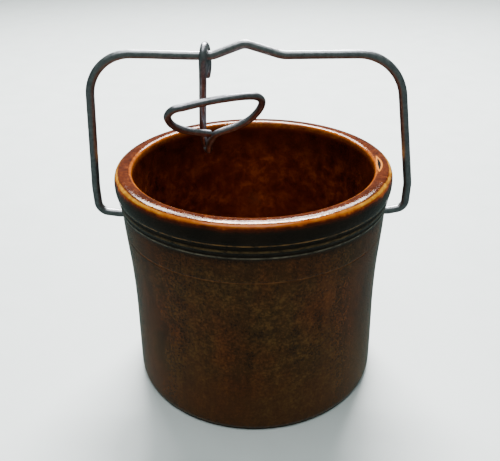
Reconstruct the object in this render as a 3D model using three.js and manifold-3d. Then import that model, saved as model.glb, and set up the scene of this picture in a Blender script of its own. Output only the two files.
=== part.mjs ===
// Butter crock: a glazed stoneware crock with a swinging wire bail and a
// hanging wire lid clamp. Millimetres, +Z up, origin at the centre of the base.
// The bail's pivot line runs along X; the clamp's finger loop faces -Y.
import * as THREE from 'three';
import * as BufferGeometryUtils from 'three/addons/utils/BufferGeometryUtils.js';
import Module from 'manifold-3d';

// ---- driving dimensions -------------------------------------------------
const CROCK_H = 96.8;          // base to rim land
const R_BASE = 53.8;           // outside radius just above the foot chamfer
const R_WAIST = 53.0;          // outside radius halfway up
const R_SHOULDER = 54.55;      // outside radius under the ring grooves
const R_COLLAR = 56.4;         // widest radius, on the collar
const R_MOUTH = 49.1;          // radius of the mouth at the inner lip edge
const R_INSIDE = 48.4;         // inside radius of the wall
const FLOOR_T = 8.0;           // thickness of the floor
const SOCKET_Z = 73.6;         // height of the bail's two sockets
const SOCKET_R = 2.05;         // radius of each blind socket
const SOCKET_BOTTOM = 50.6;    // distance from the axis to a socket's bottom
const BAIL_WIRE = 3.4;         // bail wire diameter
const BAIL_TIP = 51.0;         // distance from the axis to the bail's ends
const BAR_Z = 139.3;           // height of the bail's straight top bar
const CLAMP_WIRE = 2.95;       // lid clamp wire diameter
const CLAMP_X = -18.4;         // where the clamp's shank meets the top bar
const GAP = 0.4;               // clearance between the bail and the clamp's eye
const LOOP_TILT = 50;          // finger loop plane above horizontal, degrees
const LOOP_TURN = 18;          // finger loop turned towards +X, degrees
const LATHE_SEGMENTS = 80;
const WIRE_SIDES = 12;

const wasm = await Module();
wasm.setup();

// ---- helpers ------------------------------------------------------------
function solidOf(geometry) {
  const g = geometry.clone();
  g.deleteAttribute('normal');
  g.deleteAttribute('uv');
  const m = BufferGeometryUtils.mergeVertices(g, 1e-4);
  const mesh = new wasm.Mesh({
    numProp: 3,
    vertProperties: new Float32Array(m.attributes.position.array),
    triVerts: new Uint32Array(m.index.array),
  });
  return new wasm.Manifold(mesh);
}

function geometryOf(solid) {
  const mesh = solid.getMesh();
  const g = new THREE.BufferGeometry();
  const n = mesh.numProp;
  const count = mesh.vertProperties.length / n;
  const pos = new Float32Array(count * 3);
  for (let i = 0; i < count; i++) {
    for (let k = 0; k < 3; k++) pos[i * 3 + k] = mesh.vertProperties[i * n + k];
  }
  g.setAttribute('position', new THREE.BufferAttribute(pos, 3));
  g.setIndex(new THREE.BufferAttribute(new Uint32Array(mesh.triVerts), 1));
  g.computeVertexNormals();
  return g;
}

// A path with its own sample points: few along straight runs, many in bends.
class WirePath extends THREE.Curve {
  constructor(points) {
    super();
    this.points = points;
  }
  get steps() { return this.points.length - 1; }
  getPoint(t, target = new THREE.Vector3()) {
    const s = t * this.steps;
    const i = Math.min(Math.floor(s + 1e-9), this.steps - 1);
    return target.copy(this.points[i]).lerp(this.points[i + 1], s - i);
  }
  getPointAt(u, target) { return this.getPoint(u, target); }
  getTangent(t, target = new THREE.Vector3()) {
    const i = Math.round(t * this.steps);
    const p = this.points;
    const a = new THREE.Vector3();
    if (i > 0) a.add(p[i].clone().sub(p[i - 1]).normalize());
    if (i < this.steps) a.add(p[i + 1].clone().sub(p[i]).normalize());
    return target.copy(a.normalize());
  }
  getTangentAt(u, target) { return this.getTangent(u, target); }
}

// Polyline with an arc of the given radius at each inner corner.
function filleted(points, radii, stepDeg) {
  const out = [points[0].clone()];
  for (let i = 1; i < points.length - 1; i++) {
    const c = points[i];
    const a = points[i - 1].clone().sub(c).normalize();
    const b = points[i + 1].clone().sub(c).normalize();
    const turn = Math.PI - a.angleTo(b);
    const r = radii[i - 1];
    if (r <= 0 || turn < 1e-4) { out.push(c.clone()); continue; }
    const reach = r * Math.tan(turn / 2);
    const start = c.clone().addScaledVector(a, reach);
    const mid = a.clone().add(b).normalize();
    const centre = c.clone().addScaledVector(mid, r / Math.cos(turn / 2));
    const u = start.clone().sub(centre).normalize();
    const v = a.clone().negate();
    const n = Math.max(2, Math.ceil((turn * 180 / Math.PI) / stepDeg));
    for (let k = 0; k <= n; k++) {
      const t = turn * k / n;
      out.push(centre.clone()
        .addScaledVector(u, r * Math.cos(t)).addScaledVector(v, r * Math.sin(t)));
    }
  }
  out.push(points[points.length - 1].clone());
  return out;
}

function wire(points, diameter, sides) {
  const shape = new THREE.Shape();
  for (let i = 0; i < sides; i++) {
    const a = 2 * Math.PI * i / sides;
    const x = diameter / 2 * Math.cos(a);
    const y = diameter / 2 * Math.sin(a);
    if (i === 0) shape.moveTo(x, y); else shape.lineTo(x, y);
  }
  shape.closePath();
  const path = new WirePath(points);
  const solid = solidOf(new THREE.ExtrudeGeometry(shape, {
    steps: path.steps, bevelEnabled: false, extrudePath: path,
  }));
  return geometryOf(solid);
}

const V2 = (r, z) => new THREE.Vector2(r, z);
const V3 = (x, y, z) => new THREE.Vector3(x, y, z);

// ---- crock body ---------------------------------------------------------
// One lathe profile: flat base, waisted wall, two ring beads under a deep
// collar, rounded lip with a flat land, mouth edge, inside wall, dished floor.
const profile = [
  V2(0, 0),
  V2(52.4, 0),
  V2(53.2, 0.5),
  V2(53.45, 1.4),
  V2(R_BASE, 2.4),
  V2(R_BASE - 0.1, 10),
  V2(R_BASE - 0.5, 24),
  V2(R_WAIST, 42),
  V2(R_WAIST + 0.15, 52),
  V2(53.75, 64),
  V2(54.2, 71.9),
  V2(54.05, 72.35),
  V2(54.25, 72.8),
  V2(R_SHOULDER, 80),
  V2(54.6, 82.0),
  V2(55.0, 82.85),
  V2(55.0, 83.4),
  V2(54.8, 84.1),
  V2(54.85, 84.5),
  V2(55.35, 85.2),
  V2(55.45, 86.0),
  V2(55.15, 87.1),
  V2(55.3, 87.55),
  V2(55.9, 88.4),
  V2(56.25, 89.8),
  V2(R_COLLAR, 91.2),
  V2(R_COLLAR - 0.1, 93.6),
  V2(56.05, 95.2),
  V2(55.5, 96.2),
  V2(54.6, CROCK_H),
  V2(50.4, CROCK_H),
  V2(49.5, 96.4),
  V2(R_MOUTH, 95.6),
  V2(R_MOUTH, 94.0),
  V2(R_INSIDE, 88),
  V2(R_INSIDE, 40),
  V2(R_INSIDE - 0.2, 20),
  V2(47.0, 13.2),
  V2(43.4, 9.4),
  V2(38.0, FLOOR_T),
  V2(0, FLOOR_T),
];
let crockSolid = solidOf(new THREE.LatheGeometry(profile, LATHE_SEGMENTS)
  .applyMatrix4(new THREE.Matrix4().makeRotationX(Math.PI / 2)));
if (crockSolid.volume() < 0) throw new Error('crock faces point inward');
for (const side of [-1, 1]) {
  const length = 60 - SOCKET_BOTTOM;
  const drill = new THREE.CylinderGeometry(SOCKET_R, SOCKET_R, length, 24);
  drill.rotateZ(Math.PI / 2);
  drill.translate(side * (SOCKET_BOTTOM + length / 2), 0, SOCKET_Z);
  crockSolid = crockSolid.subtract(solidOf(drill));
}
const crock = new THREE.Mesh(geometryOf(crockSolid), new THREE.MeshStandardMaterial({
  name: 'brown_glaze', color: 0x3b1a0b, roughness: 0.25, metalness: 0.0,
}));
crock.name = 'crock_body';

// ---- bail ---------------------------------------------------------------
// One bent wire: inturned end, leg, shoulder, top bar with a humped middle,
// shoulder, leg, inturned end. Hand bent, so the two legs differ a little.
const bailPoints = filleted([
  V3(-BAIL_TIP, 0, SOCKET_Z),
  V3(-57.3, 0, SOCKET_Z),
  V3(-65.7, 0, 74.9),
  V3(-65.75, 0, 86.0),
  V3(-61.55, 0, BAR_Z + 1.25),
  V3(-40.0, 0, BAR_Z + 0.75),
  V3(-22.0, 0, BAR_Z + 0.05),
  V3(-14.6, 0, BAR_Z + 0.05),
  V3(-2.7, 0, BAR_Z + 4.35),
  V3(11.4, 0, BAR_Z - 0.1),
  V3(55.85, 0, BAR_Z - 0.1),
  V3(64.2, 0, 86.0),
  V3(64.05, 0, 75.0),
  V3(57.3, 0, SOCKET_Z),
  V3(BAIL_TIP, 0, SOCKET_Z),
], [4, 4.6, 30, 16.8, 0, 0, 6, 6, 12, 18.9, 14, 3.8, 4], 10);
const bail = new THREE.Mesh(wire(bailPoints, BAIL_WIRE, WIRE_SIDES),
  new THREE.MeshStandardMaterial({
    name: 'bail_steel', color: 0x5d5c5b, roughness: 0.45, metalness: 1.0,
  }));
bail.name = 'bail';

// ---- lid clamp ----------------------------------------------------------
// One bent wire: cut tail, eye once round the top bar, shank, tight V tip,
// riser, three-cornered finger loop, cut end beside the riser.
const tilt = THREE.MathUtils.degToRad(LOOP_TILT);
const turn = THREE.MathUtils.degToRad(LOOP_TURN);
const tip = V3(-19.65, 12.3, 97.4);
const across = V3(Math.cos(turn), Math.sin(turn), 0);
const up = V3(Math.sin(turn) * Math.cos(tilt), -Math.cos(turn) * Math.cos(tilt),
  Math.sin(tilt));
const loopAt = (x, y) => tip.clone().addScaledVector(across, x).addScaledVector(up, y);

const eyeR = BAIL_WIRE / 2 + GAP + CLAMP_WIRE / 2;
const lean = THREE.MathUtils.degToRad(20.3);
const eyeAt = (deg, dx) => {
  const a = lean + THREE.MathUtils.degToRad(deg);
  return V3(CLAMP_X + dx, -eyeR * Math.cos(a), BAR_Z - eyeR * Math.sin(a));
};
const tail = [
  V3(CLAMP_X + 0.75, 3.35, BAR_Z - 8.9),
  V3(CLAMP_X + 1.3, 3.0, BAR_Z - 6.2),
  V3(CLAMP_X + 1.55, 2.95, BAR_Z - 3.8),
];
const eye = [];
for (let d = -206; d <= 0; d += 17.1666) eye.push(eyeAt(d, 1.45 * Math.pow(-d / 206, 0.9)));
const shank = [
  V3(CLAMP_X - 0.35, -1.05, BAR_Z - 7.4),
  V3(-20.35, 7.4, 111.8),
];
const tipArc = [
  V3(-20.75, 10.3, 104.8),
  V3(-20.5, 11.95, 100.9),
  V3(-20.1, 12.8, 98.8),
  V3(-19.8, 12.4, 97.7),
  V3(-19.25, 11.4, 97.25),
  V3(-18.75, 10.4, 97.7),
  V3(-18.55, 10.0, 98.8),
  V3(-18.4, 9.75, 100.05),
  V3(-17.95, 9.0, 101.5),
];
const loop = [
  [1.35, 8.6], [2.35, 11.5], [3.9, 12.75], [6.3, 13.85], [10.6, 16.1],
  [14.4, 19.0], [16.9, 23.3], [18.15, 28.9], [17.5, 33.0], [14.9, 35.9],
  [10.6, 36.95], [3.5, 36.9], [-4.8, 35.95], [-12.6, 34.1], [-17.1, 32.9],
  [-18.9, 29.6], [-18.1, 25.3], [-15.5, 21.0], [-11.5, 17.6], [-5.6, 14.75],
  [-0.1, 12.4],
].map(([x, y]) => loopAt(x, y));
const clampCurve = new THREE.CatmullRomCurve3([...tail, ...eye, ...shank, ...tipArc, ...loop],
  false, 'centripetal');

// Samples of the curve, closer together where it bends more.
function adaptive(curve, stepDeg, maxStep) {
  const dense = curve.getSpacedPoints(2400);
  const out = [dense[0]];
  let bend = 0;
  let run = 0;
  for (let i = 1; i < dense.length - 1; i++) {
    const a = dense[i].clone().sub(dense[i - 1]);
    const b = dense[i + 1].clone().sub(dense[i]);
    bend += THREE.MathUtils.radToDeg(a.angleTo(b));
    run += a.length();
    if (bend >= stepDeg || run >= maxStep) {
      out.push(dense[i]);
      bend = 0;
      run = 0;
    }
  }
  out.push(dense[dense.length - 1]);
  return out;
}
const lidClamp = new THREE.Mesh(wire(adaptive(clampCurve, 14, 12), CLAMP_WIRE, 10),
  new THREE.MeshStandardMaterial({
    name: 'clamp_steel', color: 0x525252, roughness: 0.45, metalness: 1.0,
  }));
lidClamp.name = 'lid_clamp';

const part = new THREE.Group();
part.name = 'butter_crock';
part.add(crock, bail, lidClamp);
export default part;
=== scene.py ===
# Looks for the butter crock: finely turned glazed crock, bent bail wire and
# bent clamp wire, on a pale floor. Metres, same frame as the CAD model.
import math

import bpy
import numpy as np
from mathutils import Matrix, Vector, noise


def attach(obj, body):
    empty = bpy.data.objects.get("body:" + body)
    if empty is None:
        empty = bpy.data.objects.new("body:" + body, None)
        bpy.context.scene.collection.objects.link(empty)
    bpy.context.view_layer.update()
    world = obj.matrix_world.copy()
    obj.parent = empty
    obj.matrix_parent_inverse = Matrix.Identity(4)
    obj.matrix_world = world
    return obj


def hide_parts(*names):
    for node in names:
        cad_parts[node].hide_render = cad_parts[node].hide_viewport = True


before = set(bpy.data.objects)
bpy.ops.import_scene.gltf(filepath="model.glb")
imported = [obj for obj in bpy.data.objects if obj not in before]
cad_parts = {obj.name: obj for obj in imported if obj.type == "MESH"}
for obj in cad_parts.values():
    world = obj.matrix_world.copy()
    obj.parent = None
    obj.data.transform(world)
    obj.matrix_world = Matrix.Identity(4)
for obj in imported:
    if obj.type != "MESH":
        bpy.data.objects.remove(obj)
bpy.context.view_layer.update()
MM = 0.001


# ------------------------------------------------------------------ helpers
def catmull(points, per=8):
    """Centripetal curve through the points, `per` samples to each stretch."""
    p = [np.array(q, float) for q in points]
    p = [2 * p[0] - p[1]] + p + [2 * p[-1] - p[-2]]
    out = []
    for i in range(1, len(p) - 2):
        a, b, c, d = p[i - 1], p[i], p[i + 1], p[i + 2]
        t0 = max(((a - b) ** 2).sum() ** 0.25, 1e-6)
        t1 = max(((b - c) ** 2).sum() ** 0.25, 1e-6)
        t2 = max(((c - d) ** 2).sum() ** 0.25, 1e-6)
        m1 = ((b - a) / t0 - (c - a) / (t0 + t1) + (c - b) / t1) * t1
        m2 = ((c - b) / t1 - (d - b) / (t1 + t2) + (d - c) / t2) * t1
        n = per(i - 1) if callable(per) else per
        for k in range(n):
            t = k / n
            out.append(b + m1 * t + (-3 * b + 3 * c - 2 * m1 - m2) * t * t
                       + (2 * b - 2 * c + m1 + m2) * t ** 3)
    out.append(p[-2])
    return np.array(out)


def filleted(points, radii, step_deg):
    """Polyline with an arc of the given radius at each inner corner."""
    pts = [np.array(q, float) for q in points]
    out = [pts[0]]
    for i in range(1, len(pts) - 1):
        c, r = pts[i], radii[i - 1]
        a = pts[i - 1] - c
        b = pts[i + 1] - c
        a /= np.linalg.norm(a)
        b /= np.linalg.norm(b)
        turn = math.pi - math.acos(max(-1, min(1, float(a @ b))))
        if r <= 0 or turn < 1e-4:
            out.append(c)
            continue
        reach = r * math.tan(turn / 2)
        start = c + a * reach
        mid = (a + b) / np.linalg.norm(a + b)
        centre = c + mid * (r / math.cos(turn / 2))
        u = (start - centre) / np.linalg.norm(start - centre)
        v = -a
        n = max(2, math.ceil(math.degrees(turn) / step_deg))
        for k in range(n + 1):
            t = turn * k / n
            out.append(centre + u * r * math.cos(t) + v * r * math.sin(t))
    out.append(pts[-1])
    return np.array(out)


def resample(path, step):
    seg = np.linalg.norm(np.diff(path, axis=0), axis=1)
    s = np.concatenate([[0], np.cumsum(seg)])
    n = max(2, int(math.ceil(s[-1] / step)))
    t = np.linspace(0, s[-1], n + 1)
    return np.stack([np.interp(t, s, path[:, k]) for k in range(3)], 1)


def new_mesh(name, verts, faces, uvs=None):
    me = bpy.data.meshes.new(name)
    me.from_pydata([tuple(v) for v in verts], [], faces)
    if uvs is not None:
        layer = me.uv_layers.new(name="wire")
        flat = [c for f in uvs for uv in f for c in uv]
        layer.data.foreach_set("uv", flat)
    me.update()
    for poly in me.polygons:
        poly.use_smooth = True
    ob = bpy.data.objects.new(name, me)
    bpy.context.scene.collection.objects.link(ob)
    return ob


def wire(name, path_mm, radius_mm, sides=28, step=0.45, end_round=0.28, kink=0.05, seed=0):
    """A bent wire: round section swept along the path, with slightly
    rounded cut ends and the small unevenness of hand bent wire."""
    path = resample(path_mm, step)
    n = len(path)
    tan = np.gradient(path, axis=0)
    tan /= np.linalg.norm(tan, axis=1)[:, None]
    nrm = np.zeros_like(path)
    up = np.array([0, 1, 0]) if abs(tan[0][1]) < 0.9 else np.array([1, 0, 0])
    v = np.cross(tan[0], up)
    nrm[0] = v / np.linalg.norm(v)
    for i in range(1, n):
        v = nrm[i - 1] - tan[i] * (nrm[i - 1] @ tan[i])
        nrm[i] = v / np.linalg.norm(v)
    bin_ = np.cross(tan, nrm)
    seg = np.linalg.norm(np.diff(path, axis=0), axis=1)
    s = np.concatenate([[0], np.cumsum(seg)])
    verts, ring_s, rings = [], [], []

    def ring(centre, i, scale, at):
        ids = []
        for k in range(sides):
            a = 2 * math.pi * k / sides
            w = noise.noise(Vector((at * 0.16 + seed * 7.3, math.cos(a) * 0.6, math.sin(a) * 0.6)))
            rr = radius_mm * scale * (1 - kink * 0.35 * (0.5 + 0.5 * w))
            ids.append(len(verts))
            verts.append((centre + (nrm[i] * math.cos(a) + bin_[i] * math.sin(a)) * rr) * MM)
        rings.append(ids)
        ring_s.append(at)

    e = end_round
    for f in (0.0, 0.3, 0.65):
        ring(path[0] + tan[0] * (e * (1 - math.cos(f * math.pi / 2)) if f else 0.0), 0,
             1 - e / radius_mm * (1 - math.sin(f * math.pi / 2)), s[0])
    for i in range(n):
        if s[i] < e or s[-1] - s[i] < e:
            continue
        ring(path[i], i, 1.0, s[i])
    for f in (0.65, 0.3, 0.0):
        ring(path[-1] - tan[-1] * (e * (1 - math.cos(f * math.pi / 2)) if f else 0.0), n - 1,
             1 - e / radius_mm * (1 - math.sin(f * math.pi / 2)), s[-1])
    faces, uvs = [], []
    for j in range(len(rings) - 1):
        for k in range(sides):
            k2 = (k + 1) % sides
            faces.append((rings[j][k], rings[j][k2], rings[j + 1][k2], rings[j + 1][k]))
            u0, u1 = k / sides, (k + 1) / sides
            uvs.append(((ring_s[j] * 0.1, u0), (ring_s[j] * 0.1, u1),
                        (ring_s[j + 1] * 0.1, u1), (ring_s[j + 1] * 0.1, u0)))
    faces.append(tuple(reversed(rings[0])))
    uvs.append(tuple((0.0, 0.0) for _ in rings[0]))
    faces.append(tuple(rings[-1]))
    uvs.append(tuple((ring_s[-1] * 0.1, 0.0) for _ in rings[-1]))
    ob = new_mesh(name, verts, faces, uvs)
    fix_normals(ob)
    ob.data.set_sharp_from_angle(angle=math.radians(50))
    return ob


def fix_normals(ob):
    import bmesh
    bm = bmesh.new()
    bm.from_mesh(ob.data)
    bmesh.ops.recalc_face_normals(bm, faces=bm.faces)
    if bm.calc_volume(signed=True) < 0:
        bmesh.ops.reverse_faces(bm, faces=bm.faces)
    bm.to_mesh(ob.data)
    bm.free()


class Tree:
    """Short hand for building a material's nodes."""

    def __init__(self, name):
        self.mat = bpy.data.materials.new(name)
        self.mat.use_nodes = True
        self.t = self.mat.node_tree
        self.t.nodes.clear()
        self.out = self.t.nodes.new("ShaderNodeOutputMaterial")
        self.bsdf = self.t.nodes.new("ShaderNodeBsdfPrincipled")
        self.t.links.new(self.bsdf.outputs[0], self.out.inputs["Surface"])

    def node(self, kind, **props):
        n = self.t.nodes.new(kind)
        for k, v in props.items():
            setattr(n, k, v)
        return n

    def put(self, socket, value):
        if isinstance(value, bpy.types.NodeSocket):
            self.t.links.new(value, socket)
        elif value is not None:
            socket.default_value = value

    def math(self, op, a, b=None, c=None, clamp=False):
        n = self.node("ShaderNodeMath", operation=op, use_clamp=clamp)
        for s, v in zip(n.inputs, (a, b, c)):
            self.put(s, v)
        return n.outputs[0]

    def smooth(self, value, lo, hi):
        n = self.node("ShaderNodeMapRange", interpolation_type="SMOOTHSTEP")
        self.put(n.inputs[0], value)
        self.put(n.inputs[1], lo)
        self.put(n.inputs[2], hi)
        self.put(n.inputs[3], 0.0)
        self.put(n.inputs[4], 1.0)
        return n.outputs[0]

    def span(self, value, lo, hi, a, b):
        n = self.node("ShaderNodeMapRange", clamp=True)
        for i, v in enumerate((value, lo, hi, a, b)):
            self.put(n.inputs[i], v)
        return n.outputs[0]

    def band(self, value, lo0, lo1, hi0, hi1):
        return self.math("MULTIPLY", self.smooth(value, lo0, lo1),
                         self.math("SUBTRACT", 1.0, self.smooth(value, hi0, hi1)))

    def noise(self, vec, scale, detail=3.0, rough=0.5, dist=0.0):
        n = self.node("ShaderNodeTexNoise")
        self.put(n.inputs["Vector"], vec)
        self.put(n.inputs["Scale"], scale)
        self.put(n.inputs["Detail"], detail)
        self.put(n.inputs["Roughness"], rough)
        self.put(n.inputs["Distortion"], dist)
        return n.outputs[0]

    def mix(self, fac, a, b, mode="MIX"):
        n = self.node("ShaderNodeMix", data_type="RGBA", blend_type=mode)
        self.put(n.inputs[0], fac)
        self.put(n.inputs[6], a)
        self.put(n.inputs[7], b)
        return n.outputs[2]

    def ramp(self, fac, stops):
        n = self.node("ShaderNodeValToRGB")
        el = n.color_ramp.elements
        while len(el) < len(stops):
            el.new(0.5)
        for e, (pos, col) in zip(el, stops):
            e.position = pos
            e.color = (*col, 1.0)
        self.put(n.inputs[0], fac)
        return n.outputs[0]

    def stretch(self, vec, sx, sy, sz):
        n = self.node("ShaderNodeVectorMath", operation="MULTIPLY")
        self.put(n.inputs[0], vec)
        n.inputs[1].default_value = (sx, sy, sz)
        return n.outputs[0]

    def bump(self, height, strength, distance, normal=None):
        n = self.node("ShaderNodeBump")
        self.put(n.inputs["Height"], height)
        n.inputs["Strength"].default_value = strength
        n.inputs["Distance"].default_value = distance
        if normal is not None:
            self.put(n.inputs["Normal"], normal)
        return n.outputs[0]


def rgb(r, g, b):
    """Display colour 0-255 to linear."""
    def f(c):
        c /= 255
        return c / 12.92 if c <= 0.04045 else ((c + 0.055) / 1.055) ** 2.4
    return (f(r), f(g), f(b))


def rgba(r, g, b):
    return (*rgb(r, g, b), 1.0)


# ---------------------------------------------------------------- materials
def glaze_material():
    T = Tree("stoneware_glaze")
    tc = T.node("ShaderNodeTexCoord")
    pos = tc.outputs["Object"]
    sep = T.node("ShaderNodeSeparateXYZ")
    T.put(sep.inputs[0], pos)
    x, y, zm = sep.outputs
    r = T.math("MULTIPLY", T.math("SQRT", T.math("ADD", T.math("MULTIPLY", x, x),
                                                 T.math("MULTIPLY", y, y))), 1000.0)
    z = T.math("MULTIPLY", zm, 1000.0)
    ang = T.math("ARCTAN2", y, x)

    # noises at several scales
    n_big = T.noise(pos, 28.0, 3.0, 0.55)
    n_mid = T.noise(pos, 120.0, 4.0, 0.6, 0.2)
    n_blotch = T.noise(pos, 260.0, 3.0, 0.6, 0.4)
    n_fine = T.noise(pos, 900.0, 3.0, 0.65)
    n_grain = T.noise(pos, 2300.0, 2.0, 0.6)
    n_streak = T.noise(T.stretch(pos, 1.0, 1.0, 0.16), 210.0, 4.0, 0.62, 0.3)
    n_run = T.noise(T.stretch(pos, 1.0, 1.0, 0.05), 90.0, 3.0, 0.6)

    # outer wall: dark brown, mottled between red-brown and olive, with a fine grain
    red = T.ramp(T.math("ADD", T.math("MULTIPLY", n_fine, 0.55), T.math("MULTIPLY", n_streak, 0.45)),
                 [(0.34, rgb(31, 15, 8)), (0.50, rgb(58, 29, 12)), (0.66, rgb(90, 48, 20))])
    olive = T.ramp(T.math("ADD", T.math("MULTIPLY", n_fine, 0.6), T.math("MULTIPLY", n_blotch, 0.4)),
                   [(0.34, rgb(28, 19, 11)), (0.50, rgb(52, 35, 17)), (0.66, rgb(82, 57, 27))])
    body = T.mix(T.span(n_big, 0.40, 0.60, 0.0, 1.0), red, olive)
    body = T.mix(T.span(n_mid, 0.50, 0.66, 0.0, 0.45), body, rgba(27, 15, 9))
    body = T.mix(T.span(n_run, 0.50, 0.68, 0.0, 0.30), body, rgba(74, 40, 15))
    body = T.mix(T.span(z, 62.0, 80.0, 0.0, 0.40), body, rgba(26, 13, 8))
    body = T.mix(T.span(z, 40.0, 10.0, 0.0, 0.35), body, rgba(88, 50, 22))
    speck = T.span(n_grain, 0.60, 0.72, 0.0, 0.5)
    body = T.mix(speck, body, rgba(104, 58, 22))

    # collar: nearly black where the glaze is thick
    collar = T.mix(T.span(n_mid, 0.35, 0.65, 0.0, 1.0), rgba(9, 8, 8), rgba(18, 13, 10))
    wob = T.math("MULTIPLY", T.math("SUBTRACT", n_mid, 0.5), 1.5)
    zc = T.math("ADD", z, T.math("MULTIPLY", wob, 1.2))
    collar_m = T.band(zc, 79.8, 83.6, 96.0, 96.6)
    col = T.mix(collar_m, body, collar)

    # ring crests, tinted lighter partly where the glaze runs thin and partly as painted reflection of the
    # surroundings, and the incised ring
    broken = T.span(n_blotch, 0.36, 0.60, 0.2, 1.0)
    for z0, w, tint, amt in ((88.5, 0.45, (96, 68, 34), 0.75), (85.9, 0.62, (76, 60, 34), 0.65),
                             (83.2, 0.40, (96, 92, 78), 0.65), (72.42, 0.36, (104, 62, 30), 0.55)):
        m = T.band(z, z0 - w, z0 - w * 0.4, z0 + w * 0.4, z0 + w)
        m = T.math("MULTIPLY", m, T.math("MULTIPLY", broken, amt))
        col = T.mix(T.math("MULTIPLY", m, T.smooth(r, 52.5, 53.5)), col, rgba(*tint))

    # rim land: red-brown with a fine golden grain
    rw = T.math("ADD", r, T.math("MULTIPLY", wob, 0.6))
    zw = T.math("ADD", z, T.math("MULTIPLY", wob, 0.5))
    land = T.ramp(T.math("ADD", T.math("MULTIPLY", n_fine, 0.55), T.math("MULTIPLY", n_blotch, 0.45)),
                  [(0.34, rgb(42, 13, 5)), (0.50, rgb(68, 26, 10)), (0.66, rgb(98, 47, 17))])
    amber = T.ramp(T.math("ADD", T.math("MULTIPLY", n_fine, 0.45), T.math("MULTIPLY", n_blotch, 0.55)),
                   [(0.32, rgb(100, 42, 8)), (0.48, rgb(136, 66, 14)), (0.64, rgb(168, 96, 28)),
                    (0.80, rgb(220, 150, 60))])
    gold = T.ramp(n_blotch, [(0.34, rgb(132, 76, 10)), (0.52, rgb(166, 110, 20)), (0.68, rgb(190, 138, 36))])
    ember = T.ramp(T.math("ADD", T.math("MULTIPLY", n_mid, 0.5), T.math("MULTIPLY", n_fine, 0.5)),
                   [(0.36, rgb(92, 28, 4)), (0.50, rgb(136, 54, 7)), (0.64, rgb(176, 86, 16))])
    # the gold is redder and deeper at the front
    front = T.math("MULTIPLY", T.smooth(y, -0.034, -0.053), 0.75)
    gold = T.mix(front, gold, rgba(140, 56, 8))
    rim_m = T.smooth(zw, 95.2, 95.9)
    col = T.mix(rim_m, col, land)
    # below the outer edge the amber breaks, ragged, through dark red into the collar
    zr = T.math("ADD", z, T.math("ADD", T.math("MULTIPLY", T.math("SUBTRACT", n_mid, 0.5), 2.2),
                                 T.math("MULTIPLY", T.math("SUBTRACT", n_blotch, 0.5), 1.2)))
    zr = T.math("SUBTRACT", zr, T.math("MULTIPLY", T.smooth(y, -0.030, -0.050), 0.7))
    far = T.smooth(r, 54.6, 55.2)
    col = T.mix(T.math("MULTIPLY", far, T.math("MULTIPLY", T.smooth(zr, 92.6, 94.8), 0.85)), col, rgba(64, 19, 4))
    col = T.mix(T.math("MULTIPLY", far, T.smooth(zr, 94.1, 95.5)), col, ember)
    col = T.mix(T.math("MULTIPLY", T.smooth(rw, 54.3, 55.0), T.smooth(z, 95.35, 95.75)), col, gold)

    # inside: mottled red-brown glaze, darkened under the lip as painted shade and brightened lower down as
    # painted light, a glow
    inside_painted_light = T.ramp(T.math("ADD", T.math("MULTIPLY", n_blotch, 0.5), T.math("MULTIPLY", n_mid, 0.5)),
                  [(0.38, rgb(60, 20, 5)), (0.50, rgb(95, 38, 10)), (0.62, rgb(136, 66, 19))])
    inside_painted_light = T.mix(T.span(n_big, 0.44, 0.60, 0.0, 0.55), inside_painted_light, rgba(78, 25, 5))
    inside_painted_shade = T.mix(T.span(n_mid, 0.4, 0.65, 0.0, 1.0), rgba(40, 11, 3), rgba(72, 25, 6))
    zi = T.math("ADD", z, T.math("MULTIPLY", wob, 5.0))
    inside = T.mix(T.span(zi, 89.0, 79.0, 0.0, 1.0), inside_painted_shade, inside_painted_light)
    in_m = T.math("MULTIPLY", T.math("SUBTRACT", 1.0, T.smooth(r, 49.6, 50.0)), T.smooth(z, 5.0, 7.0))
    col = T.mix(T.math("MULTIPLY", in_m, T.math("SUBTRACT", 1.0, T.smooth(zw, 93.0, 95.2))), col, inside)
    # inner lip: an amber line on the edge, red-brown below it
    lip = T.mix(T.smooth(zw, 93.2, 95.4), rgba(96, 36, 9), amber)
    inner_m = T.math("MULTIPLY", T.math("SUBTRACT", 1.0, T.smooth(rw, 49.8, 50.5)),
                     T.smooth(zw, 92.2, 94.6))
    col = T.mix(T.math("MULTIPLY", inner_m, 0.9), col, lip)

    # scar on the inner edge of the rim: a dark, ragged mark edged with amber
    sa = T.math("DIVIDE", T.math("ADD", ang, 0.082), 0.128)
    ragged = T.math("MULTIPLY", T.math("SUBTRACT", n_fine, 0.5), 1.3)
    sr = T.math("SUBTRACT", T.math("SUBTRACT", r, 50.95), T.math("MULTIPLY", sa, 0.14))
    body_w = T.math("SUBTRACT", 1.0, T.math("MULTIPLY", sa, sa))
    sd = T.math("SUBTRACT", T.math("MULTIPLY", body_w, 0.72),
                T.math("ABSOLUTE", T.math("ADD", sr, T.math("MULTIPLY", ragged, 0.35))))
    scar_top = T.smooth(z, 94.5, 95.2)
    skip_rim = T.math("MULTIPLY", T.smooth(sd, -0.75, -0.30), scar_top)
    skip_in = T.math("MULTIPLY", T.smooth(sd, 0.0, 0.16), scar_top)
    col = T.mix(T.math("MULTIPLY", skip_rim, 0.85), col, rgba(196, 116, 36))
    col = T.mix(skip_in, col, T.mix(T.span(n_fine, 0.54, 0.66, 0.0, 1.0), rgba(6, 4, 4), rgba(34, 22, 14)))

    # bare foot and underside; the foot darkened towards its outer edge as painted contact shadow
    clay = T.mix(T.span(n_fine, 0.4, 0.62, 0.0, 1.0), rgba(150, 122, 92), rgba(182, 156, 122))
    clay = T.mix(T.span(n_grain, 0.68, 0.72, 0.0, 0.8), clay, rgba(84, 54, 34))
    foot_edge_painted_shadow = T.mix(T.span(r, 49.0, 52.6, 0.0, 1.0), clay, rgba(46, 30, 20))
    foot_m = T.math("SUBTRACT", 1.0, T.smooth(T.math("ADD", z, T.math("MULTIPLY", wob, 0.3)), 0.9, 1.7))
    col = T.mix(foot_m, col, foot_edge_painted_shadow)
    T.put(T.bsdf.inputs["Base Color"], col)

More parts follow.
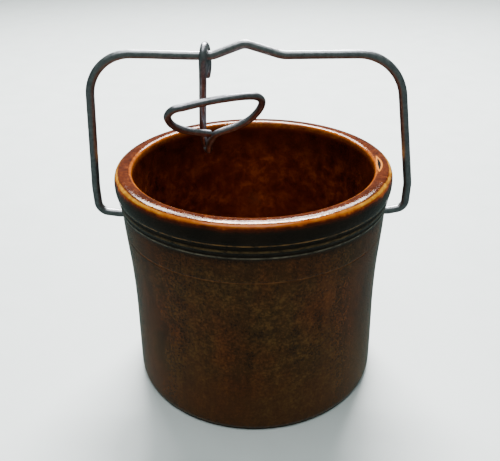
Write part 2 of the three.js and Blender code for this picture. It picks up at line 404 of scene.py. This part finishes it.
    rough = T.span(n_mid, 0.3, 0.7, 0.11, 0.18)
    rough = T.math("SUBTRACT", rough, T.math("MULTIPLY", T.smooth(z, 88.0, 94.0), 0.05))
    rough = T.math("ADD", rough, T.math("MULTIPLY", T.span(n_fine, 0.55, 0.75, 0.0, 1.0), 0.04))
    rough = T.math("ADD", rough, T.math("MULTIPLY", foot_m, 0.6), clamp=True)
    rough = T.math("ADD", rough, T.math("MULTIPLY", skip_in, 0.7), clamp=True)
    T.put(T.bsdf.inputs["Roughness"], rough)
    T.put(T.bsdf.inputs["Specular IOR Level"], T.math("SUBTRACT", 0.5, T.math("MULTIPLY", skip_in, 0.46)))
    T.bsdf.inputs["IOR"].default_value = 1.45
    T.bsdf.inputs["Specular Tint"].default_value = (1.0, 0.66, 0.48, 1.0)
    height = T.math("ADD", T.math("MULTIPLY", n_blotch, 0.6), T.math("MULTIPLY", n_fine, 0.4))
    b1 = T.bump(height, 0.14, 0.0006)
    b2 = T.bump(n_streak, 0.10, 0.0008, b1)
    T.put(T.bsdf.inputs["Normal"], b2)
    return T.mat


def steel_material(name, dark, light, bright, seed):
    T = Tree(name)
    tc = T.node("ShaderNodeTexCoord")
    pos = tc.outputs["Object"]
    uv = T.node("ShaderNodeUVMap", uv_map="wire").outputs[0]
    shift = T.node("ShaderNodeVectorMath", operation="ADD")
    T.put(shift.inputs[0], pos)
    shift.inputs[1].default_value = (seed * 0.37, seed * 0.11, 0.0)
    p = shift.outputs[0]
    n1 = T.noise(p, 90.0, 4.0, 0.6)
    n2 = T.noise(p, 600.0, 4.0, 0.65, 0.2)
    draw = T.noise(T.stretch(uv, 1.6, 40.0, 1.0), 6.0, 3.0, 0.6)
    pits = T.noise(p, 1700.0, 2.0, 0.6)
    base = T.ramp(T.math("ADD", T.math("MULTIPLY", n2, 0.5), T.math("MULTIPLY", draw, 0.5)),
                  [(0.30, dark), (0.52, light), (0.78, bright)])
    base = T.mix(T.span(n1, 0.50, 0.70, 0.0, 0.5), base, (*dark, 1.0))
    base = T.mix(T.span(pits, 0.66, 0.74, 0.0, 0.55), base, rgba(30, 26, 24))
    T.put(T.bsdf.inputs["Base Color"], base)
    T.bsdf.inputs["Metallic"].default_value = 0.95
    rough = T.span(n2, 0.3, 0.7, 0.29, 0.39)
    rough = T.math("ADD", rough, T.math("MULTIPLY", T.span(n1, 0.5, 0.7, 0.0, 1.0), 0.10), clamp=True)
    T.put(T.bsdf.inputs["Roughness"], rough)
    b = T.bump(T.math("ADD", T.math("MULTIPLY", draw, 0.6), T.math("MULTIPLY", pits, 0.4)), 0.25, 0.00012)
    T.put(T.bsdf.inputs["Normal"], b)
    return T.mat


# ------------------------------------------------------------------- crock
SOCKET_Z = 73.6
# radius and height, up the outside, over the rim and down the inside
PROFILE = [
    # foot and wall
    (52.2, 0.0), (52.75, 0.12), (53.2, 0.6), (53.4, 1.4), (53.66, 2.1), (53.8, 3.2), (53.76, 8),
    (53.6, 16), (53.3, 26), (53.08, 35), (53.02, 44), (53.16, 52), (53.45, 59), (53.88, 66),
    # fine incised ring
    (54.1, 70), (54.2, 71.9), (54.16, 72.15), (54.08, 72.42), (54.17, 72.7), (54.26, 72.95),
    # three fine rings under the collar
    (54.36, 75), (54.47, 78), (54.53, 80.6), (54.57, 82.0), (54.72, 82.55), (54.95, 82.9),
    (55.0, 83.2), (54.96, 83.6), (54.84, 84.05), (54.86, 84.4), (55.02, 84.8), (55.3, 85.2),
    (55.42, 85.65), (55.43, 86.15), (55.3, 86.7), (55.2, 87.15), (55.28, 87.55), (55.6, 88.0),
    (55.86, 88.4), (56.05, 89.0), (56.25, 90.0),
    # collar and rim
    (56.36, 91.4), (56.36, 92.8), (56.22, 94.1), (55.92, 95.1), (55.35, 95.95), (54.6, 96.42),
    (53.6, 96.66), (52.5, 96.78), (51.6, 96.78), (50.7, 96.68), (49.95, 96.45), (49.45, 96.05),
    (49.2, 95.4), (49.13, 94.4), (49.05, 92.6), (48.75, 90.0), (48.5, 86.5), (48.42, 80),
    # inner wall and floor
    (48.45, 72), (48.4, 60), (48.42, 48), (48.4, 36), (48.3, 25), (47.9, 18.2), (46.8, 13.6),
    (44.6, 10.6), (41.5, 8.9), (37.0, 8.15), (30.0, 8.02), (20.0, 8.0), (8.0, 8.0),
]


SCAR_A, SCAR_R = -0.082, 50.95


def crock_mesh():
    gap = [math.dist(a, b) for a, b in zip(PROFILE, PROFILE[1:])]
    prof = catmull(PROFILE, lambda i: max(2, min(9, math.ceil(gap[i] / 0.3))))
    seg = 216
    verts = [(0.0, 0.0, 0.0)]
    rows = []
    for ring_r in (18.0, 36.0, 47.0):
        rows.append((ring_r, 0.0))
    for rr, zz in prof:
        rows.append((rr, max(0.0, zz)))
    for j, (rr, zz) in enumerate(rows):
        for k in range(seg):
            a = 2 * math.pi * k / seg
            # slight unevenness of a fired pot, only ever inward
            w = noise.noise(Vector((math.cos(a) * 1.3, math.sin(a) * 1.3, zz * 0.02)))
            w2 = noise.noise(Vector((math.cos(a) * 5.0, math.sin(a) * 5.0, zz * 0.09 + 4.0)))
            d = -(0.10 * (0.5 + 0.5 * w) + 0.05 * (0.5 + 0.5 * w2)) if zz > 0.3 else 0.0
            r2 = rr + d
            z2 = zz
            if zz > 95.9:
                z2 = zz - 0.05 * (0.5 + 0.5 * w)
            # shallow scar on the inner edge of the rim
            da = math.atan2(math.sin(a - SCAR_A), math.cos(a - SCAR_A))
            if abs(da) < 0.15 and zz > 93 and rr < 53.5:
                fall = math.cos(0.5 * math.pi * da / 0.15) ** 0.6
                near = math.exp(-((rr - SCAR_R) / 0.62) ** 2 - ((zz - 96.65) / 1.2) ** 2)
                rough = 0.7 + 0.5 * noise.noise(Vector((a * 70, rr * 1.6, 2.0)))
                z2 -= 0.34 * fall * near * rough
            verts.append((r2 * math.cos(a) * MM, r2 * math.sin(a) * MM, z2 * MM))
    n = len(rows)
    faces = []
    for k in range(seg):
        faces.append((0, 1 + (k + 1) % seg, 1 + k))
    for j in range(n - 1):
        b0, b1 = 1 + j * seg, 1 + (j + 1) * seg
        for k in range(seg):
            k2 = (k + 1) % seg
            faces.append((b0 + k, b0 + k2, b1 + k2, b1 + k))
    top = len(verts)
    verts.append((0.0, 0.0, 8.0 * MM))
    b0 = 1 + (n - 1) * seg
    for k in range(seg):
        faces.append((b0 + k, b0 + (k + 1) % seg, top))
    ob = new_mesh("crock_shell", verts, faces)
    fix_normals(ob)
    # the two blind sockets
    for side in (-1, 1):
        import bmesh
        bm = bmesh.new()
        rings = []
        for xx, rr in ((50.65, 1.75), (50.95, 2.0), (53.3, 2.05), (53.95, 2.15), (54.6, 2.45), (58.0, 3.7)):
            rings.append([bm.verts.new((side * xx * MM, rr * math.cos(2 * math.pi * k / 40) * MM,
                                        (SOCKET_Z + rr * math.sin(2 * math.pi * k / 40)) * MM))
                          for k in range(40)])
        for a, b in zip(rings, rings[1:]):
            for k in range(40):
                bm.faces.new((a[k], a[(k + 1) % 40], b[(k + 1) % 40], b[k]))
        bm.faces.new(rings[0])
        bm.faces.new(rings[-1])
        bmesh.ops.recalc_face_normals(bm, faces=bm.faces)
        me = bpy.data.meshes.new("drill")
        bm.to_mesh(me)
        bm.free()
        drill = bpy.data.objects.new("drill", me)
        bpy.context.scene.collection.objects.link(drill)
        mod = ob.modifiers.new("hole", "BOOLEAN")
        mod.operation = "DIFFERENCE"
        mod.solver = "EXACT"
        mod.object = drill
        dg = bpy.context.evaluated_depsgraph_get()
        new = bpy.data.meshes.new_from_object(ob.evaluated_get(dg))
        ob.modifiers.clear()
        old = ob.data
        ob.data = new
        bpy.data.meshes.remove(old)
        bpy.data.objects.remove(drill)
        bpy.data.meshes.remove(me)
    # weld slivers left by the cuts and drop any stray island
    bm = bmesh.new()
    bm.from_mesh(ob.data)
    bmesh.ops.remove_doubles(bm, verts=bm.verts, dist=0.004 * MM)
    bmesh.ops.dissolve_degenerate(bm, edges=bm.edges, dist=0.002 * MM)
    seen = set()
    for start in list(bm.faces):
        if start in seen:
            continue
        island, stack = [], [start]
        seen.add(start)
        while stack:
            face = stack.pop()
            island.append(face)
            for edge in face.edges:
                for other in edge.link_faces:
                    if other not in seen:
                        seen.add(other)
                        stack.append(other)
        if len(island) < 50:
            bmesh.ops.delete(bm, geom=island, context="FACES")
    bm.to_mesh(ob.data)
    bm.free()
    for poly in ob.data.polygons:
        poly.use_smooth = True
    ob.data.set_sharp_from_angle(angle=math.radians(38))
    return ob


glaze = glaze_material()
crock = crock_mesh()
crock.data.materials.clear()
crock.data.materials.append(glaze)
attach(crock, "crock")
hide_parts("crock_body")

# -------------------------------------------------------------------- bail
BAR_Z = 139.3
BAIL = [
    (-51.0, 0, 73.6), (-57.3, 0, 73.6), (-65.7, 0, 74.9), (-65.75, 0, 86.0), (-61.55, 0, 140.55),
    (-40.0, 0, 140.05), (-22.0, 0, 139.35), (-14.6, 0, 139.35), (-2.7, 0, 143.65), (11.4, 0, 139.2),
    (55.85, 0, 139.2), (64.2, 0, 86.0), (64.05, 0, 75.0), (57.3, 0, 73.6), (51.0, 0, 73.6),
]
bail_path = filleted(BAIL, [4, 4.6, 30, 16.8, 0, 0, 6, 6, 12, 18.9, 14, 3.8, 4], 3)
bail = wire("bail_wire", bail_path, 1.7, sides=32, step=0.5, kink=0.03, seed=1)
bail.data.materials.append(steel_material("bail_steel_worn", rgb(108, 109, 112), rgb(148, 149, 152),
                                          rgb(198, 199, 202), 1))
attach(bail, "bail")
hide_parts("bail")

# ------------------------------------------------------------------- clamp
CX = -18.4
EYE_R = 1.7 + 0.4 + 1.475
LEAN = math.radians(20.3)


def eye_at(deg, dx):
    a = LEAN + math.radians(deg)
    return (CX + dx, -EYE_R * math.cos(a), BAR_Z - EYE_R * math.sin(a))


TIP = np.array((-19.65, 12.3, 97.4))
TILT, TURN = math.radians(50), math.radians(18)
ACROSS = np.array((math.cos(TURN), math.sin(TURN), 0))
UP = np.array((math.sin(TURN) * math.cos(TILT), -math.cos(TURN) * math.cos(TILT), math.sin(TILT)))
clamp_points = [
    (CX + 0.75, 3.35, BAR_Z - 8.9), (CX + 1.3, 3.0, BAR_Z - 6.2), (CX + 1.55, 2.95, BAR_Z - 3.8),
]
d = -206.0
while d <= 0:
    clamp_points.append(eye_at(d, 1.45 * (max(0.0, -d) / 206) ** 0.9))
    d += 17.1666
clamp_points += [
    (CX - 0.35, -1.05, BAR_Z - 7.4), (-20.35, 7.4, 111.8), (-20.75, 10.3, 104.8),
    (-20.5, 11.95, 100.9), (-20.1, 12.8, 98.8), (-19.8, 12.4, 97.7), (-19.25, 11.4, 97.25),
    (-18.75, 10.4, 97.7), (-18.55, 10.0, 98.8), (-18.4, 9.75, 100.05), (-17.95, 9.0, 101.5),
]
clamp_points += [tuple(TIP + ACROSS * u + UP * v) for u, v in (
    (1.35, 8.6), (2.35, 11.5), (3.9, 12.75), (6.3, 13.85), (10.6, 16.1),
    (14.4, 19.0), (16.9, 23.3), (18.15, 28.9), (17.5, 33.0), (14.9, 35.9),
    (10.6, 36.95), (3.5, 36.9), (-4.8, 35.95), (-12.6, 34.1), (-17.1, 32.9),
    (-18.9, 29.6), (-18.1, 25.3), (-15.5, 21.0), (-11.5, 17.6), (-5.6, 14.75),
    (-0.1, 12.4))]
clamp = wire("clamp_wire", catmull(clamp_points, 14), 1.475, sides=28, step=0.4, kink=0.04, seed=2)
clamp.data.materials.append(steel_material("clamp_steel_worn", rgb(98, 98, 103), rgb(138, 138, 143),
                                           rgb(188, 188, 193), 5))
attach(clamp, "clamp")
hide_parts("lid_clamp")

# ------------------------------------------------------- floor, light, camera
def floor_material():
    T = Tree("pale_floor")
    pos = T.node("ShaderNodeTexCoord").outputs["Object"]
    n = T.noise(pos, 40.0, 4.0, 0.6)
    T.put(T.bsdf.inputs["Base Color"], T.mix(T.span(n, 0.3, 0.7, 0.0, 1.0),
                                             (0.60, 0.645, 0.64, 1), (0.63, 0.675, 0.67, 1)))
    T.put(T.bsdf.inputs["Roughness"], T.span(n, 0.3, 0.7, 0.5, 0.6))
    return T.mat


floor = new_mesh("floor", [(-3, -3, 0), (3, -3, 0), (3, 3, 0), (-3, 3, 0)], [(0, 1, 2, 3)])
floor.data.materials.append(floor_material())
floor.visible_glossy = False  # the glaze mirrors the dim room, not the bright floor


def area(name, loc, target, sx, sy, power, colour=(1, 1, 1)):
    li = bpy.data.lights.new(name, "AREA")
    li.shape = "RECTANGLE"
    li.size, li.size_y = sx, sy
    li.energy = power
    li.color = colour
    ob = bpy.data.objects.new(name, li)
    bpy.context.scene.collection.objects.link(ob)
    ob.location = loc
    ob.rotation_euler = (Vector(target) - Vector(loc)).to_track_quat("-Z", "Y").to_euler()
    return ob


area("key", (0.05, 0.64, 0.98), (0, 0, 0.08), 0.54, 0.18, 46.0, (1.0, 0.99, 0.97))
area("back_sheet", (0.0, 0.85, 0.85), (0, 0, 0.11), 0.95, 0.25, 24.0, (0.98, 0.99, 1.0))
area("top_fill", (-0.1, -0.30, 1.5), (0, 0, 0.05), 1.1, 0.9, 18.0, (0.97, 1.0, 1.0))

world = bpy.data.worlds.new("studio")
bpy.context.scene.world = world
world.use_nodes = True
world.node_tree.nodes["Background"].inputs[0].default_value = (0.58, 0.82, 0.76, 1)
world.node_tree.nodes["Background"].inputs[1].default_value = 0.215

az, el, roll = math.radians(-0.175), math.radians(29.442), math.radians(0.688)
fwd = Vector((math.sin(az) * math.cos(el), math.cos(az) * math.cos(el), -math.sin(el)))
right0 = fwd.cross(Vector((0, 0, 1))).normalized()
down0 = fwd.cross(right0)
right = right0 * math.cos(roll) + down0 * math.sin(roll)
down = down0 * math.cos(roll) - right0 * math.sin(roll)
cam_data = bpy.data.cameras.new("camera")
cam = bpy.data.objects.new("camera", cam_data)
bpy.context.scene.collection.objects.link(cam)
rot = Matrix((right, -down, -fwd)).transposed().to_4x4()
cam.matrix_world = Matrix.Translation((0.00062, -0.23454, 0.19264)) @ rot
cam_data.sensor_width = 36.0
cam_data.sensor_fit = "HORIZONTAL"
cam_data.lens = 614.95 / 500 * 36
cam_data.shift_x = -0.0078
cam_data.shift_y = 0.01616
cam_data.clip_start = 0.01
bpy.context.scene.camera = cam

bpy.context.view_layer.update()
